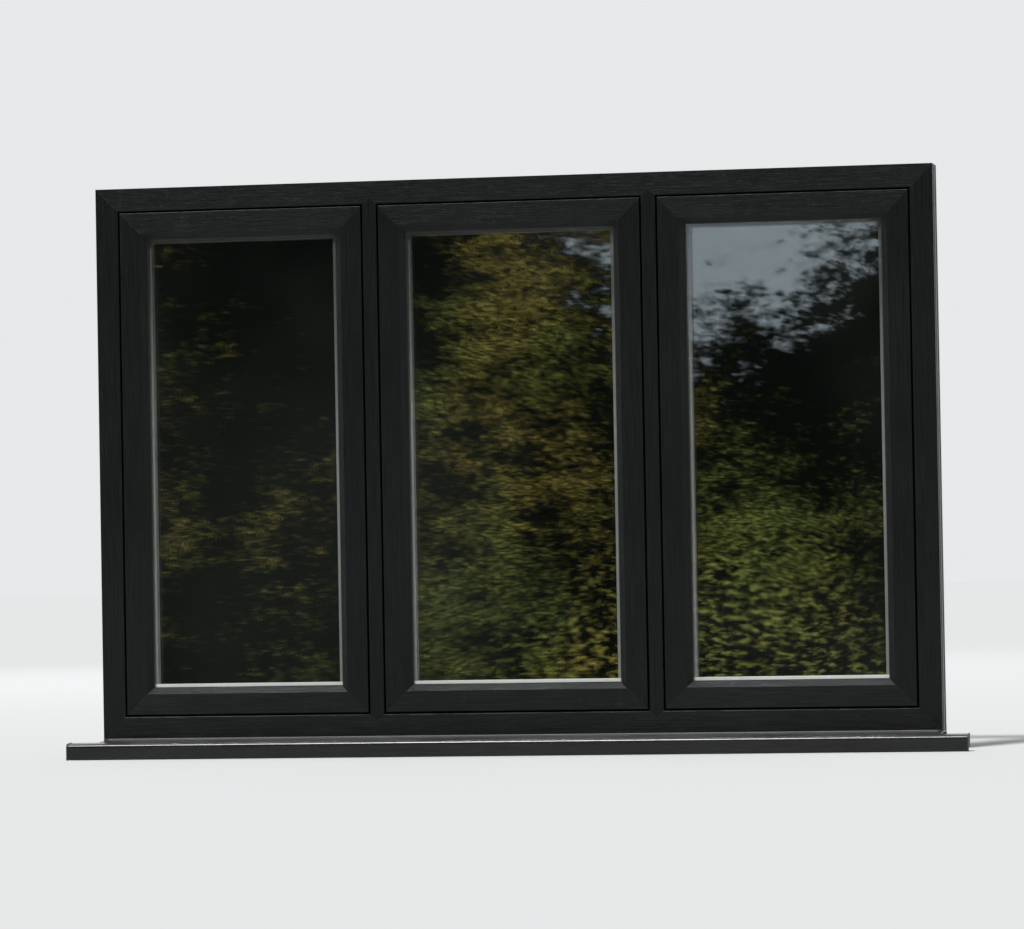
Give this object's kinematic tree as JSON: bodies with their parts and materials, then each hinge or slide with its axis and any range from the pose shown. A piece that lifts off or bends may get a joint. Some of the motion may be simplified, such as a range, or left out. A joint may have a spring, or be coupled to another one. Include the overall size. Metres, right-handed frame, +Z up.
{
  "type": "three-light flush casement window",
  "caption": "Dark grey flush casement window with mitred sashes set level with the frame, slim mullions, double-glazed units and a projecting horned sill.",
  "frame": {"origin": "on the flat underside of the sill, at mid-width, under the plane of the frame's outer face", "axes": "+X to the right seen from outside, -Y to the outside, +Y to the room, +Z up"},
  "size_m": [1.89, 0.186, 1.199],
  "materials": {
    "frame_profile": "satin near-black grey foil on extruded profile, fine grain",
    "sash_profile": "satin near-black grey foil on extruded profile, fine grain",
    "bead_profile": "satin near-black grey foil on extruded bead, fine grain",
    "glass": "clear float glass, dark with reflections",
    "spacer": "satin hollow spacer bar with a line of vents",
    "gasket": "black extruded rubber",
    "handle": "satin metal",
    "sill": "satin near-black grey foil with light dust",
    "sill_end": "moulded end cap, fine matt texture"
  },
  "bodies": {
    "root": {"frame_head": "frame_profile", "frame_bottom_rail": "frame_profile", "frame_jamb_left": "frame_profile", "frame_jamb_right": "frame_profile", "mullion_left": "frame_profile", "mullion_right": "frame_profile", "sash_left_top_rail": "sash_profile", "sash_left_bottom_rail": "sash_profile", "sash_left_left_stile": "sash_profile", "sash_left_right_stile": "sash_profile", "pane_outer_left": "glass", "pane_inner_left": "glass", "spacer_bar_left": "spacer", "glazing_gasket_left": "gasket", "weather_seal_left": "gasket", "glazing_beads_left": "bead_profile", "sash_middle_top_rail": "sash_profile", "sash_middle_bottom_rail": "sash_profile", "sash_middle_left_stile": "sash_profile", "sash_middle_right_stile": "sash_profile", "pane_outer_middle": "glass", "pane_inner_middle": "glass", "spacer_bar_middle": "spacer", "glazing_gasket_middle": "gasket", "weather_seal_middle": "gasket", "glazing_beads_middle": "bead_profile", "sash_right_top_rail": "sash_profile", "sash_right_bottom_rail": "sash_profile", "sash_right_left_stile": "sash_profile", "sash_right_right_stile": "sash_profile", "pane_outer_right": "glass", "pane_inner_right": "glass", "spacer_bar_right": "spacer", "glazing_gasket_right": "gasket", "weather_seal_right": "gasket", "glazing_beads_right": "bead_profile", "handle_base_left": "handle", "handle_lever_left": "handle", "handle_base_right": "handle", "handle_lever_right": "handle", "sill": "sill", "sill_end_left": "sill_end", "sill_end_right": "sill_end"}
  },
  "joints": []
}
